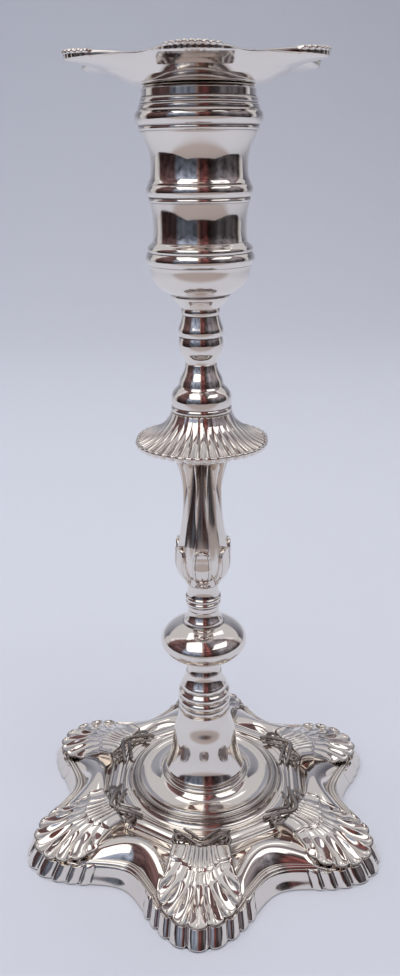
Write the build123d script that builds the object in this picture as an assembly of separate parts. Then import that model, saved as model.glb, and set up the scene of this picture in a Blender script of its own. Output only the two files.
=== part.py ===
"""A six-cornered silver candlestick: shell base, turned and fluted stem, socket and lift-out nozzle.

Millimetres, +Z up. The origin is on the resting plane, on the stem's axis. The first of the six
corners points along -Y and the others follow every 60 degrees.
"""
from build123d import *
import os
from math import cos, hypot, radians, sin

# Driving dimensions
CORNERS = 6
CORNER_STEP = 360 / CORNERS
FIRST_CORNER = -90.0
BASE_TIP_R = 68.6
BASE_SIDE_R = 51.5
FLANGE_Z = 6.2
DISH_Z = 11.4
ROD_R = 3.0
ROD_BORE_R = 3.2
CANDLE_BORE_R = 11.3
COLLAR_WALL = 1.0
SOCKET_BORE_R = 12.7
NOZZLE_TIP_R = 39.6
NOZZLE_SIDE_R = 30.0
LIFT_GAP = 0.3

# Heights of the seams between the stem's sections, from the resting plane up
FOOT_COLLAR_Z = 42.0
BULB_Z = 57.6
RING_COLLAR_Z = 82.0
BALUSTER_Z = 91.8
SHADE_SEAT_Z = 149.0
BELL_Z = 152.2
RING_KNOP_Z = 167.4
CUP_Z = 184.4
BARREL_Z = 204.0
SOCKET_TOP_Z = 245.2
NOZZLE_Z = SOCKET_TOP_Z + LIFT_GAP
COLLAR_BOTTOM_Z = 225.6
TOP_Z = 254.0

# Scallop shells on the base: a fan of tongues whose ends lie on a circle
SHELL_FAN_CENTRE = 51.0
SHELL_FAN_R = 13.7
SHELL_HINGE = 37.0
SHELL_HINGE_HALF = 8.5
SHELL_HINGE_Z = 12.2
SHELL_TILT = 11.0
SHELL_THICK = 2.6
SHELL_TONGUES = 7
TONGUE_STEP = 25.0
TONGUE_GROOVE_R = 2.7
LOBES_A_SIDE = 5
LOBE_ANGLE = 3.3
LOBE_SWELL = 0.7

# The oblate bulb
BULB_R = 14.86
BULB_HALF_HEIGHT = 7.7
BULB_MIDDLE_Z = 70.1
BULB_WALL = 1.6

# The row of beads round each tip of the drip pan
PAN_BEAD_ANGLE = 3.4
PAN_BEADS_A_SIDE = 3
PAN_BEAD_SWELL = 0.5

# Flutes on the stem
SHADE_FLUTES = 42
SHADE_RIM_R = 21.1
BALUSTER_FLUTES = 12
LEAF_HALF_WIDTH = 3.0
LEAF_BELLY_Z = 99.5
LEAF_TIP_Z = 107.5


def polar(radius, azimuth, height=0.0):
    """A point at a radius and an azimuth in degrees about the stem's axis."""
    return (radius * cos(radians(azimuth)), radius * sin(radians(azimuth)), height)


class Turning:
    """The half-section of a turned piece, drawn as radius and height, then spun about the axis."""

    def __init__(self, radius, height):
        self.start = (radius, 0, height)
        self.here = self.start
        self.edges = []

    def line(self, radius, height):
        end = (radius, 0, height)
        self.edges.append(Line(self.here, end))
        self.here = end
        return self

    def arc(self, radius, height, swell):
        """An arc to the next point that swells to the right of the way it is drawn."""
        x, _, z = self.here
        across = hypot(radius - x, height - z)
        middle = (
            (x + radius) / 2 + swell * (height - z) / across,
            0,
            (z + height) / 2 - swell * (radius - x) / across,
        )
        end = (radius, 0, height)
        self.edges.append(ThreePointArc(self.here, middle, end))
        self.here = end
        return self

    def curve(self, *stops):
        """A smooth curve through the stops."""
        points = [self.here] + [(radius, 0, height) for radius, height in stops]
        self.edges.append(Spline(*points))
        self.here = points[-1]
        return self

    def beads(self, count, radius, height, swell):
        """A row of equal beads on the way to the next point."""
        x, _, z = self.here
        for i in range(1, count + 1):
            share = i / count
            self.arc(x + (radius - x) * share, z + (height - z) * share, swell)
        return self

    def spin(self):
        self.line(self.start[0], self.start[2])
        return revolve(make_face(Wire(self.edges)), axis=Axis.Z)


def drum(radius, low, high, bore=0.0):
    """A plain cylinder between two heights, with an optional bore."""
    solid = Pos(0, 0, low) * extrude(Circle(radius), high - low)
    if bore > 0:
        solid -= Pos(0, 0, low) * extrude(Circle(bore), high - low)
    return solid


def corner_radius(tip, side, azimuth):
    """A six-cornered outline that runs in one wave from the tips in to the sides."""
    wave = cos(radians(CORNERS * (azimuth - FIRST_CORNER)))
    return (tip + side) / 2 + (tip - side) / 2 * wave


def wavy_wire(tip, side, height, steps=36):
    """The smooth six-cornered outline at one height."""
    azimuths = [FIRST_CORNER + 360 * i / steps for i in range(steps)]
    points = [polar(corner_radius(tip, side, a), a, height) for a in azimuths]
    return Wire(Spline(*points, periodic=True))


def lobed_wire(tip, side, height, angle, a_side, swell):
    """The six-cornered outline with a row of rounded lobes about each tip."""
    edges = []
    for k in range(CORNERS):
        tip_azimuth = FIRST_CORNER + CORNER_STEP * k
        stops = [tip_azimuth + angle * (i + 0.5) for i in range(-a_side - 1, a_side + 1)]
        for a, b in zip(stops, stops[1:]):
            middle = (a + b) / 2
            edges.append(
                ThreePointArc(
                    polar(corner_radius(tip, side, a), a, height),
                    polar(corner_radius(tip, side, middle) + swell, middle, height),
                    polar(corner_radius(tip, side, b), b, height),
                )
            )
        a = stops[-1]
        b = stops[0] + CORNER_STEP
        plain = [a + (b - a) * i / 4 for i in range(5)]
        edges.append(Spline(*[polar(corner_radius(tip, side, s), s, height) for s in plain]))
    return Wire(edges)


def layered(wires):
    """A solid whose walls run straight from each outline to the next."""
    return Solid.make_loft(wires, ruled=True)


def about_axis(solid, count):
    """The solid and its copies, evenly spaced about the axis."""
    return [Rot(0, 0, 360 * k / count) * solid for k in range(count)]


def flange():
    """The sloping outer flange with its lobes under each shell."""
    lobes = (LOBE_ANGLE, LOBES_A_SIDE, LOBE_SWELL)
    return layered(
        [
            lobed_wire(BASE_TIP_R - LOBE_SWELL, BASE_SIDE_R, 0, *lobes),
            lobed_wire(67.4, 51.2, 1.0, *lobes),
            lobed_wire(65.8, 50.1, 3.4, *lobes),
            lobed_wire(64.2, 48.8, FLANGE_Z, *lobes),
        ]
    )


def panels():
    """The rim moulding, the swelling panels and the scroll band, from the flange in to the rings."""
    return layered(
        [
            wavy_wire(63.4, 48.2, FLANGE_Z),
            wavy_wire(62.4, 47.6, FLANGE_Z + 0.9),
            wavy_wire(60.6, 46.4, FLANGE_Z + 0.4),
            wavy_wire(52.0, 41.6, 8.6),
            wavy_wire(41.0, 36.0, 9.6),
            wavy_wire(37.5, 34.4, 11.2),
            wavy_wire(33.5, 31.6, DISH_Z + 0.3),
            wavy_wire(30.4, 30.2, DISH_Z),
        ]
    )


def fan_point(turn, reach):
    """A point on the shell's fan, in its own plane, with the hinge towards the axis."""
    return (SHELL_FAN_CENTRE + reach * cos(radians(turn)), reach * sin(radians(turn)))


def shell():
    """One scallop shell: a tilted fan with a scalloped edge and a tapering groove in each tongue."""
    widest = SHELL_TONGUES / 2 * TONGUE_STEP
    turns = [-widest + TONGUE_STEP * i for i in range(SHELL_TONGUES + 1)]
    scallops = [
        ThreePointArc(
            fan_point(a, SHELL_FAN_R),
            fan_point((a + b) / 2, SHELL_FAN_R + 1.3),
            fan_point(b, SHELL_FAN_R),
        )
        for a, b in zip(turns, turns[1:])
    ]
    left = fan_point(widest, SHELL_FAN_R)
    right = fan_point(-widest, SHELL_FAN_R)
    hinge = Polyline(
        left, (SHELL_HINGE, SHELL_HINGE_HALF), (SHELL_HINGE, -SHELL_HINGE_HALF), right
    )
    outline = make_face(Wire(scallops + list(hinge.edges())))
    fan = extrude(outline, SHELL_THICK)
    grooves = []
    for i in range(SHELL_TONGUES):
        turn = TONGUE_STEP * (i - (SHELL_TONGUES - 1) / 2)
        groove_r = TONGUE_GROOVE_R * cos(radians(turn / 1.6))
        end = Vector(*fan_point(turn, SHELL_FAN_R - groove_r), SHELL_THICK + 0.5)
        start = Vector(SHELL_HINGE, SHELL_HINGE_HALF * turn / (widest * 1.1), SHELL_THICK)
        way = end - start
        grooves.append(Solid.make_cone(0.5, groove_r, way.length, Plane(origin=start, z_dir=way)))
        grooves.append(Pos(*end) * Sphere(groove_r))
    fluted = fan - grooves
    tilted = Rot(0, SHELL_TILT, 0) * (Pos(-SHELL_HINGE, 0, -SHELL_THICK) * fluted)
    return Pos(SHELL_HINGE, 0, SHELL_HINGE_Z) * tilted


def dome():
    """The bell in the middle of the base, with the dish and the two rings around it."""
    return (
        Turning(0, DISH_Z)
        .line(29.2, DISH_Z)
        .line(28.6, 12.0)
        .beads(2, 23.6, 14.4, 0.7)
        .curve((21.5, 14.0), (18.0, 14.6), (15.4, 15.6))
        .arc(14.2, 19.0, 0.7)
        .curve((12.6, 23.0), (11.6, 28.0), (11.0, 33.0), (9.6, 38.0), (8.9, FOOT_COLLAR_Z))
        .line(0, FOOT_COLLAR_Z)
        .spin()
    )


def hollow_foot():
    """The wide, shallow space under the base."""
    return layered(
        [
            wavy_wire(65.4, 49.2, -1.0),
            wavy_wire(65.2, 49.0, 1.0),
            wavy_wire(61.0, 46.0, 4.2),
            wavy_wire(50.0, 40.0, 6.4),
            wavy_wire(28.6, 28.2, 9.2),
        ]
    )


def hollow_bell():
    """The narrow space up inside the bell."""
    return (
        Turning(0, 9.2)
        .line(27.0, 9.2)
        .curve((21.0, 12.0), (13.4, 13.8))
        .curve((10.8, 23.0), (9.6, 30.0), (8.0, FOOT_COLLAR_Z - 2.4))
        .line(0, FOOT_COLLAR_Z - 2.4)
        .spin()
    )


def base():
    """The cast foot: flange, panels, six shells, rings and bell, hollow underneath."""
    body = flange() + panels() + dome()
    body += about_axis(Rot(0, 0, FIRST_CORNER) * shell(), CORNERS)
    body = body - hollow_foot() - hollow_bell()
    return body - drum(ROD_BORE_R, FOOT_COLLAR_Z - 5, FOOT_COLLAR_Z + 1)


def foot_collar():
    """The collar of rings on top of the bell, tapering to the bulb's neck."""
    return (
        Turning(ROD_BORE_R, FOOT_COLLAR_Z)
        .line(8.5, FOOT_COLLAR_Z)
        .arc(8.6, 44.6, 0.35)
        .beads(2, 8.5, 50.6, 0.7)
        .line(8.0, 51.2)
        .arc(7.6, 53.4, 0.3)
        .curve((6.6, 55.6), (6.2, BULB_Z))
        .line(ROD_BORE_R, BULB_Z)
        .spin()
    )


def oval_stops(radius, half_height, middle, first, last):
    """Points up the side of an oblate ball, between two angles from its equator."""
    angles = [radians(first + (last - first) * i / 6) for i in range(7)]
    return [(radius * cos(a), middle + half_height * sin(a)) for a in angles]


def bulb_knop():
    """The hollow oblate bulb on its neck, with a stepped neck above it."""
    outside = (
        Turning(ROD_BORE_R, BULB_Z)
        .line(6.0, BULB_Z)
        .curve((5.4, 59.4), (5.3, 61.6))
        .line(5.5, 62.9)
        .curve(*oval_stops(BULB_R, BULB_HALF_HEIGHT, BULB_MIDDLE_Z, -67, 62))
        .line(6.7, 77.4)
        .line(6.5, 78.4)
        .curve((5.6, 80.0), (5.2, RING_COLLAR_Z))
        .line(ROD_BORE_R, RING_COLLAR_Z)
        .spin()
    )
    hollow = oval_stops(BULB_R - BULB_WALL, BULB_HALF_HEIGHT - BULB_WALL, BULB_MIDDLE_Z, -70, 70)
    inside = Turning(ROD_BORE_R, hollow[0][1]).line(*hollow[0]).curve(*hollow[1:])
    return outside - inside.line(ROD_BORE_R, hollow[-1][1]).spin()


def ring_collar():
    """The small two-ring collar between the bulb and the baluster."""
    return (
        Turning(ROD_BORE_R, RING_COLLAR_Z)
        .line(5.3, RING_COLLAR_Z)
        .line(5.4, 83.8)
        .beads(2, 5.6, 87.4, 0.65)
        .curve((5.2, 89.6), (5.4, BALUSTER_Z))
        .line(ROD_BORE_R, BALUSTER_Z)
        .spin()
    )


def fluted_wire(radius, height, count, depth):
    """A ring of shallow grooves between crisp ridges."""
    step = 360 / count
    edges = []
    for k in range(count):
        a = FIRST_CORNER + step * (k - 0.5)
        edges.append(
            ThreePointArc(
                polar(radius, a, height),
                polar(radius * cos(radians(step / 2)) - depth, a + step / 2, height),
                polar(radius, a + step, height),
            )
        )
    return Wire(edges)


def leaf_prism():
    """A pointed leaf on the +X side, drawn as seen from outside and pushed out from the axis."""
    foot = (0, 0, BALUSTER_Z + 0.8)
    tip = (0, 0, LEAF_TIP_Z)
    edges = []
    for half in (LEAF_HALF_WIDTH, -LEAF_HALF_WIDTH):
        belly = (0, half, LEAF_BELLY_Z)
        low = (0, half * 0.8, (foot[2] + LEAF_BELLY_Z) / 2)
        high = (0, half * 0.72, (LEAF_BELLY_Z + LEAF_TIP_Z) / 2 + 0.7)
        edges += [ThreePointArc(foot, low, belly), ThreePointArc(belly, high, tip)]
    return extrude(make_face(Wire(edges)), 15, dir=(1, 0, 0))


def baluster():
    """The fluted baluster with six leaves lying up its foot and a plain hub on top."""
    stops = [
        (5.5, BALUSTER_Z),
        (6.4, 94.2),
        (7.6, 96.4),
        (8.7, 99.8),
        (8.8, 103.5),
        (8.3, 107.0),
        (7.5, 111.5),
        (6.8, 116.5),
        (6.45, 122.0),
        (6.7, 128.0),
        (7.6, 132.5),
        (9.1, 137.0),
    ]
    shaft = Solid.make_loft([fluted_wire(r, z, BALUSTER_FLUTES, 0.25) for r, z in stops])
    leaf_skin = (
        Turning(0, BALUSTER_Z)
        .line(5.6, BALUSTER_Z)
        .curve((7.8, 95.6), (9.3, 100.0), (9.4, 103.6), (9.3, 106.6), (9.6, 108.0))
        .line(0, 108.0)
        .spin()
    )
    prisms = about_axis(Rot(0, 0, FIRST_CORNER) * leaf_prism(), CORNERS)
    leaves = [leaf_skin & prism for prism in prisms]
    hub = (
        Turning(0, 136.6)
        .line(8.9, 136.6)
        .arc(8.2, 139.4, 0.5)
        .line(7.0, 140.2)
        .line(6.4, SHADE_SEAT_Z)
        .line(0, SHADE_SEAT_Z)
        .spin()
    )
    body = shaft + leaves + hub
    return body - drum(ROD_BORE_R, BALUSTER_Z - 1, SHADE_SEAT_Z + 1)


def fluted_shade():
    """The flared skirt of narrow flutes that hangs over the baluster's top."""
    flare = [
        (9.6, BELL_Z, 0.06),
        (10.8, 149.6, 0.12),
        (13.2, 147.0, 0.25),
        (16.6, 144.8, 0.35),
        (20.4, 143.2, 0.4),
    ]
    skirt = layered([fluted_wire(r, z, SHADE_FLUTES, depth) for r, z, depth in flare])
    rim = layered(
        [
            fluted_wire(20.4, 143.2, SHADE_FLUTES, 0.4),
            fluted_wire(SHADE_RIM_R, 142.6, SHADE_FLUTES, -0.5),
            fluted_wire(SHADE_RIM_R - 0.3, 141.8, SHADE_FLUTES, -0.5),
        ]
    )
    under = (
        Turning(0, 141.0)
        .line(20.0, 141.0)
        .line(19.6, 142.1)
        .curve((16.0, 143.6), (12.0, 146.0), (9.4, SHADE_SEAT_Z))
        .line(0, SHADE_SEAT_Z)
        .spin()
    )
    return skirt + rim - under - drum(ROD_BORE_R, SHADE_SEAT_Z - 1, BELL_Z + 1)


def bell_knop():
    """The bell-shaped knop that caps the shade."""
    return (
        Turning(ROD_BORE_R, BELL_Z)
        .line(9.4, BELL_Z)
        .arc(9.3, 154.0, 0.35)
        .curve((9.5, 155.6), (9.2, 158.0), (7.5, 160.0))
        .line(7.1, 160.6)
        .curve((6.6, 162.6), (5.4, 165.2), (4.9, RING_KNOP_Z))
        .line(ROD_BORE_R, RING_KNOP_Z)
        .spin()
    )


def ring_knop():
    """The knop of stacked rings under the socket."""
    return (
        Turning(ROD_BORE_R, RING_KNOP_Z)
        .line(4.8, RING_KNOP_Z)
        .curve((5.1, 168.8), (6.3, 170.8))
        .arc(6.6, 175.8, 0.55)
        .arc(6.9, 178.4, 0.25)
        .curve((6.2, 180.4), (5.75, 182.4))
        .arc(5.8, CUP_Z, 0.2)
        .line(ROD_BORE_R, CUP_Z)
        .spin()
    )


def socket_cup():
    """The socket's lower cup: rounded bowl, ring group and the floor the tie rod clamps."""
    outside = (
        Turning(ROD_BORE_R, CUP_Z)
        .line(5.8, CUP_Z)
        .curve((7.4, 186.2), (8.6, 187.6))
        .arc(9.0, 189.2, 0.25)
        .curve((11.3, 190.6), (13.4, 192.2), (14.5, 194.2))
        .line(14.7, 194.5)
        .arc(15.0, 195.8, 0.3)
        .line(15.3, 196.8)
        .arc(15.6, 199.1, 0.75)
        .arc(15.75, 201.3, 0.65)
        .curve((15.1, 202.3), (14.5, 203.3), (14.2, BARREL_Z))
        .line(ROD_BORE_R, BARREL_Z)
        .spin()
    )
    recess = drum(11.6, 196.0, BARREL_Z + 1)
    return outside - recess


def socket_barrel():
    """The socket's waisted barrel with its middle rings and beaded rim."""
    spigot_r = 11.5
    return (
        Turning(spigot_r - 0.9, BARREL_Z - 2.5)
        .line(spigot_r, BARREL_Z - 2.5)
        .line(spigot_r, BARREL_Z)
        .line(14.2, BARREL_Z)
        .curve((13.9, 208.0), (14.0, 211.0), (14.3, 213.9))
        .line(14.6, 214.3)
        .arc(14.75, 215.8, 0.35)
        .line(15.0, 217.1)
        .arc(15.05, 219.9, 0.6)
        .curve((13.92, 223.5), (13.84, 227.6), (14.9, 231.4), (17.2, 234.7))
        .arc(17.5, 235.8, 0.35)
        .line(17.55, 236.9)
        .arc(17.2, 240.2, 0.85)
        .line(16.5, 240.7)
        .arc(16.4, 242.2, 0.4)
        .line(16.2, SOCKET_TOP_Z)
        .line(SOCKET_BORE_R, SOCKET_TOP_Z)
        .line(SOCKET_BORE_R, COLLAR_BOTTOM_Z - 3)
        .line(SOCKET_BORE_R - 0.4, COLLAR_BOTTOM_Z - 4)
        .line(SOCKET_BORE_R - 0.4, BARREL_Z + 1)
        .line(spigot_r - 0.9, BARREL_Z)
        .spin()
    )


def nozzle_pan():
    """The dished drip pan with a small shell of beads at each corner."""
    seat_r = SOCKET_BORE_R + 3.5
    beaded_tip = NOZZLE_TIP_R - PAN_BEAD_SWELL
    beads = (PAN_BEAD_ANGLE, PAN_BEADS_A_SIDE)
    outer = layered(
        [
            lobed_wire(seat_r, seat_r, NOZZLE_Z, *beads, 0.05),
            lobed_wire(20.2, 19.8, 246.6, *beads, 0.05),
            lobed_wire(28.0, 25.6, 250.2, *beads, 0.1),
            lobed_wire(36.6, 29.0, 252.2, *beads, PAN_BEAD_SWELL),
            lobed_wire(beaded_tip, NOZZLE_SIDE_R, TOP_Z - 1.2, *beads, PAN_BEAD_SWELL),
            lobed_wire(beaded_tip, NOZZLE_SIDE_R, TOP_Z - 0.5, *beads, PAN_BEAD_SWELL),
            lobed_wire(beaded_tip - 0.7, NOZZLE_SIDE_R - 0.6, TOP_Z, *beads, PAN_BEAD_SWELL),
        ]
    )
    dish = layered(
        [
            wavy_wire(13.6, 13.5, NOZZLE_Z + 1.4),
            wavy_wire(19.6, 19.2, 248.0),
            wavy_wire(27.0, 24.8, 251.4),
            wavy_wire(35.6, 28.2, 253.1),
            wavy_wire(36.6, 28.8, TOP_Z + 0.5),
        ]
    )
    collar_r = CANDLE_BORE_R + COLLAR_WALL
    return outer - dish - drum(collar_r, NOZZLE_Z - 1, NOZZLE_Z + 3)


def nozzle_collar():
    """The candle tube under the pan, with a small lip at its mouth."""
    outer_r = CANDLE_BORE_R + COLLAR_WALL
    return (
        Turning(CANDLE_BORE_R, COLLAR_BOTTOM_Z)
        .line(outer_r, COLLAR_BOTTOM_Z)
        .line(outer_r, NOZZLE_Z + 1.4)
        .arc(CANDLE_BORE_R, NOZZLE_Z + 1.9, 0.25)
        .spin()
    )


def tie_rod():
    """The rod that clamps the stem's sections between the base and the socket cup."""
    return drum(ROD_R, 31.0, 199.6)


def hexagon_nut(low, high, across_flats, bore):
    """A plain hexagon nut between two heights."""
    hexagon = RegularPolygon(across_flats / 2, 6, major_radius=False)
    return Pos(0, 0, low) * extrude(hexagon - Circle(bore), high - low)


def base_washer():
    """The washer under the bell's roof."""
    return drum(6.8, FOOT_COLLAR_Z - 3.6, FOOT_COLLAR_Z - 2.4, ROD_BORE_R)


def base_nut():
    """The nut that draws the tie rod down."""
    return hexagon_nut(FOOT_COLLAR_Z - 8.6, FOOT_COLLAR_Z - 3.6, 10.0, ROD_R + 0.02)


def socket_nut():
    """The round nut in the socket cup's floor, slotted for a driver."""
    nut = drum(7.0, 196.0, 199.0, ROD_R + 0.02)
    return nut - Pos(0, 0, 198.4) * Box(16, 1.6, 1.6)


SUBPARTS = {
    "base": base,
    "base_washer": base_washer,
    "base_nut": base_nut,
    "tie_rod": tie_rod,
    "foot_collar": foot_collar,
    "bulb_knop": bulb_knop,
    "ring_collar": ring_collar,
    "baluster": baluster,
    "fluted_shade": fluted_shade,
    "bell_knop": bell_knop,
    "ring_knop": ring_knop,
    "socket_cup": socket_cup,
    "socket_nut": socket_nut,
    "socket_barrel": socket_barrel,
    "nozzle_pan": nozzle_pan,
    "nozzle_collar": nozzle_collar,
}

os.makedirs("parts", exist_ok=True)
for name, make in SUBPARTS.items():
    export_step(make(), f"parts/{name}.step")
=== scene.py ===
import math
import bpy
import numpy as np
from mathutils import Matrix, Vector


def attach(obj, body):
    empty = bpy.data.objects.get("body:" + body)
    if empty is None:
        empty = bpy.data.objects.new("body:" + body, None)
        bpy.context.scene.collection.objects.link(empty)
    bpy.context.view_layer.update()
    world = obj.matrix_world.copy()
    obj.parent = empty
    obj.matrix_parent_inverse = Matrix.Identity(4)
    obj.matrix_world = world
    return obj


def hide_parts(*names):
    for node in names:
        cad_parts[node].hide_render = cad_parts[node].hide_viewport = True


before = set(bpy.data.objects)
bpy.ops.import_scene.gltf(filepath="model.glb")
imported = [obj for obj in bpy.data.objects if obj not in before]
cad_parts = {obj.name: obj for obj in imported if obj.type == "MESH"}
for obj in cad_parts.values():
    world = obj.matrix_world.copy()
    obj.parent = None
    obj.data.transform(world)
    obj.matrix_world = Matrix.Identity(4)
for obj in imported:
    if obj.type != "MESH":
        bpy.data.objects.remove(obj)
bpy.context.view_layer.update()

MM = 0.001
CORNERS = 6
SECTOR = 360.0 / CORNERS
FIRST_CORNER = -90.0  # degrees: a corner of the base points at the camera
ROD_BORE = 3.2  # mm, radius of the hole for the tie rod through every stem piece
CAMERA_TURN = math.radians(2.45)

# ---------------------------------------------------------------- curves


def smooth(x, low, high):
    """0 below low, 1 above high, with an eased step between."""
    t = np.clip((x - low) / (high - low), 0.0, 1.0)
    return t * t * (3 - 2 * t)


def spline(stops, count):
    """A natural cubic spline through the stops, as count points."""
    p = np.array(stops, float)
    n = len(p)
    t = np.r_[0.0, np.cumsum(np.linalg.norm(np.diff(p, axis=0), axis=1))]
    h = np.diff(t)
    a = np.zeros((n, n))
    b = np.zeros((n, p.shape[1]))
    a[0, 0] = a[-1, -1] = 1.0
    for i in range(1, n - 1):
        a[i, i - 1], a[i, i], a[i, i + 1] = h[i - 1], 2 * (h[i - 1] + h[i]), h[i]
        b[i] = 6 * ((p[i + 1] - p[i]) / h[i] - (p[i] - p[i - 1]) / h[i - 1])
    m = np.linalg.solve(a, b)
    x = np.linspace(0.0, t[-1], count)
    k = np.clip(np.searchsorted(t, x, side="right") - 1, 0, n - 2)
    u, w = (t[k + 1] - x)[:, None], (x - t[k])[:, None]
    hk = h[k][:, None]
    return (
        m[k] * u**3 / (6 * hk)
        + m[k + 1] * w**3 / (6 * hk)
        + (p[k] / hk - m[k] * hk / 6) * u
        + (p[k + 1] / hk - m[k + 1] * hk / 6) * w
    )


class Section:
    """A turned piece's half-section, drawn as radius and height in millimetres."""

    def __init__(self, radius, height):
        self.points = [np.array([[radius, height]], float)]

    @property
    def here(self):
        return self.points[-1][-1]

    def line(self, radius, height):
        self.points.append(np.array([[radius, height]], float))
        return self

    def arc(self, radius, height, swell):
        """An arc to the next point that swells to the right of the way it is drawn."""
        a, b = self.here, np.array([radius, height], float)
        half = np.linalg.norm(b - a) / 2
        way = (b - a) / (2 * half)
        side = np.array([way[1], -way[0]])
        big = (half * half + swell * swell) / (2 * abs(swell))
        span = math.asin(min(1.0, half / big))
        if abs(swell) > half:
            span = math.pi - span
        centre = (a + b) / 2 + side * (abs(swell) - big) * math.copysign(1, swell)
        turns = np.linspace(-span, span, 14)[1:]
        out = side * math.copysign(1, swell)
        self.points.append(centre + big * (np.cos(turns)[:, None] * out + np.sin(turns)[:, None] * way))
        return self

    def curve(self, *stops):
        points = spline([tuple(self.here)] + list(stops), 12 * len(stops) + 1)
        self.points.append(points[1:])
        return self

    def beads(self, count, radius, height, swell):
        a = self.here.copy()
        for i in range(1, count + 1):
            at = a + (np.array([radius, height]) - a) * i / count
            self.arc(at[0], at[1], swell)
        return self

    def closed(self, step):
        """The closed outline, resampled at an even step."""
        p = np.concatenate(self.points)
        return even(np.concatenate([p, p[:1]]), step)[:-1]


def even(p, step):
    """The polyline resampled at an even step along its length."""
    keep = np.r_[True, np.linalg.norm(np.diff(p, axis=0), axis=1) > 1e-6]
    p = p[keep]
    t = np.r_[0.0, np.cumsum(np.linalg.norm(np.diff(p, axis=0), axis=1))]
    count = max(4, int(round(t[-1] / step)) + 1)
    x = np.linspace(0.0, t[-1], count)
    return np.stack([np.interp(x, t, p[:, k]) for k in range(p.shape[1])], axis=1)


# ---------------------------------------------------------------- meshes


class Shape:
    """Grids of points gathered into one mesh."""

    def __init__(self):
        self.verts, self.faces, self.recess, self.count = [], [], [], 0

    def grid(self, p, wrap=(True, True)):
        """A grid of points (rows, columns, 3), wrapped round along rows and columns."""
        rows, cols = p.shape[:2]
        index = np.arange(rows * cols).reshape(rows, cols)
        if wrap[0]:
            index = np.concatenate([index, index[:1]], axis=0)
        if wrap[1]:
            index = np.concatenate([index, index[:, :1]], axis=1)
        quads = np.stack(
            [index[:-1, :-1], index[:-1, 1:], index[1:, 1:], index[1:, :-1]], axis=-1
        ).reshape(-1, 4)
        self.verts.append(p.reshape(-1, 3))
        self.faces.append(quads + self.count)
        self.recess.append(hollowness(p, wrap).ravel())
        self.count += rows * cols
        return self

    def object(self, name):
        verts = np.concatenate(self.verts) * MM
        faces = np.concatenate(self.faces)
        mesh = bpy.data.meshes.new(name)
        mesh.vertices.add(len(verts))
        mesh.vertices.foreach_set("co", verts.astype(np.float32).ravel())
        mesh.loops.add(faces.size)
        mesh.loops.foreach_set("vertex_index", faces.astype(np.int32).ravel())
        mesh.polygons.add(len(faces))
        mesh.polygons.foreach_set("loop_start", np.arange(0, faces.size, 4, dtype=np.int32))
        mesh.update(calc_edges=True)
        mesh.polygons.foreach_set("use_smooth", np.ones(len(faces), bool))
        attribute = mesh.attributes.new("recess", "FLOAT", "POINT")
        attribute.data.foreach_set("value", np.concatenate(self.recess).astype(np.float32))
        made = bpy.data.objects.new(name, mesh)
        bpy.context.scene.collection.objects.link(made)
        return made


def neighbours(p, axis, wrapped):
    before, after = np.roll(p, 1, axis), np.roll(p, -1, axis)
    if not wrapped:
        first = (slice(None),) * axis + (0,)
        last = (slice(None),) * axis + (-1,)
        before[first], after[last] = p[first], p[last]
    return before, after


def hollowness(p, wrap):
    """How far each point lies in a groove: positive in a hollow, in 1/mm, eased over the grid."""
    r0, r1 = neighbours(p, 0, wrap[0])
    c0, c1 = neighbours(p, 1, wrap[1])
    normal = np.cross(c1 - c0, r1 - r0)
    normal /= np.maximum(np.linalg.norm(normal, axis=2, keepdims=True), 1e-9)
    hollow = np.zeros(p.shape[:2])
    for a, b in ((r0, r1), (c0, c1)):
        size = np.maximum((np.linalg.norm(a - p, axis=2) + np.linalg.norm(b - p, axis=2)) / 2, 0.05)
        bend = np.einsum("ijk,ijk->ij", (a + b) / 2 - p, normal) / size**2 * 2
        hollow = hollow + np.clip(bend, -3, 3)
    for _ in range(2):
        a, b = neighbours(hollow, 0, wrap[0])
        c, d = neighbours(hollow, 1, wrap[1])
        hollow = (2 * hollow + a + b + c + d) / 6
    return hollow


def spun(section, step=0.2, columns=160, flute=None):
    """Rings of a closed half-section spun about the axis; flute may change their radius and height."""
    outline = section.closed(step)
    turn = np.radians(FIRST_CORNER + np.arange(columns) * 360.0 / columns)
    radius = np.repeat(outline[:, :1], columns, axis=1)
    height = np.repeat(outline[:, 1:], columns, axis=1)
    if flute:
        radius, height = flute(radius, height, np.degrees(turn)[None, :] - FIRST_CORNER)
    return np.stack([radius * np.cos(turn), radius * np.sin(turn), height], axis=-1)


def tube(path, size, squash=1.0, sides=12):
    """A closed round bar along a path; size is a radius for each point, and its ends close to a point."""
    path = np.asarray(path, float)
    along = np.gradient(path, axis=0)
    along /= np.linalg.norm(along, axis=1, keepdims=True)
    side = np.cross(along, [0, 0, 1.0])
    side /= np.maximum(np.linalg.norm(side, axis=1, keepdims=True), 1e-9)
    up = np.cross(side, along)
    turn = np.arange(sides) * 2 * np.pi / sides
    size = np.asarray(size, float)[:, None, None]
    flat, tall = np.cos(turn)[None, :, None], squash * np.sin(turn)[None, :, None]
    body = path[:, None] + size * (flat * side[:, None] + tall * up[:, None])
    ends = np.repeat(path[[0, -1]][:, None], sides, axis=1)
    return np.concatenate([ends[:1], body, ends[1:]])


def turned_copies(shape, p, wrap):
    """The grid, drawn on the +X side, copied to every corner."""
    for k in range(CORNERS):
        a = math.radians(FIRST_CORNER + 360.0 * k / CORNERS)
        turn = np.array([[math.cos(a), -math.sin(a), 0], [math.sin(a), math.cos(a), 0], [0, 0, 1]])
        shape.grid(p @ turn.T, wrap)


def with_ends(rings):
    """The rings closed at both ends by a point in the middle of the first and the last."""
    middle = rings.mean(axis=1, keepdims=True)
    ends = np.repeat(middle[[0, -1]], rings.shape[1], 1)
    return np.concatenate([ends[:1], rings, ends[1:]])


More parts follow.
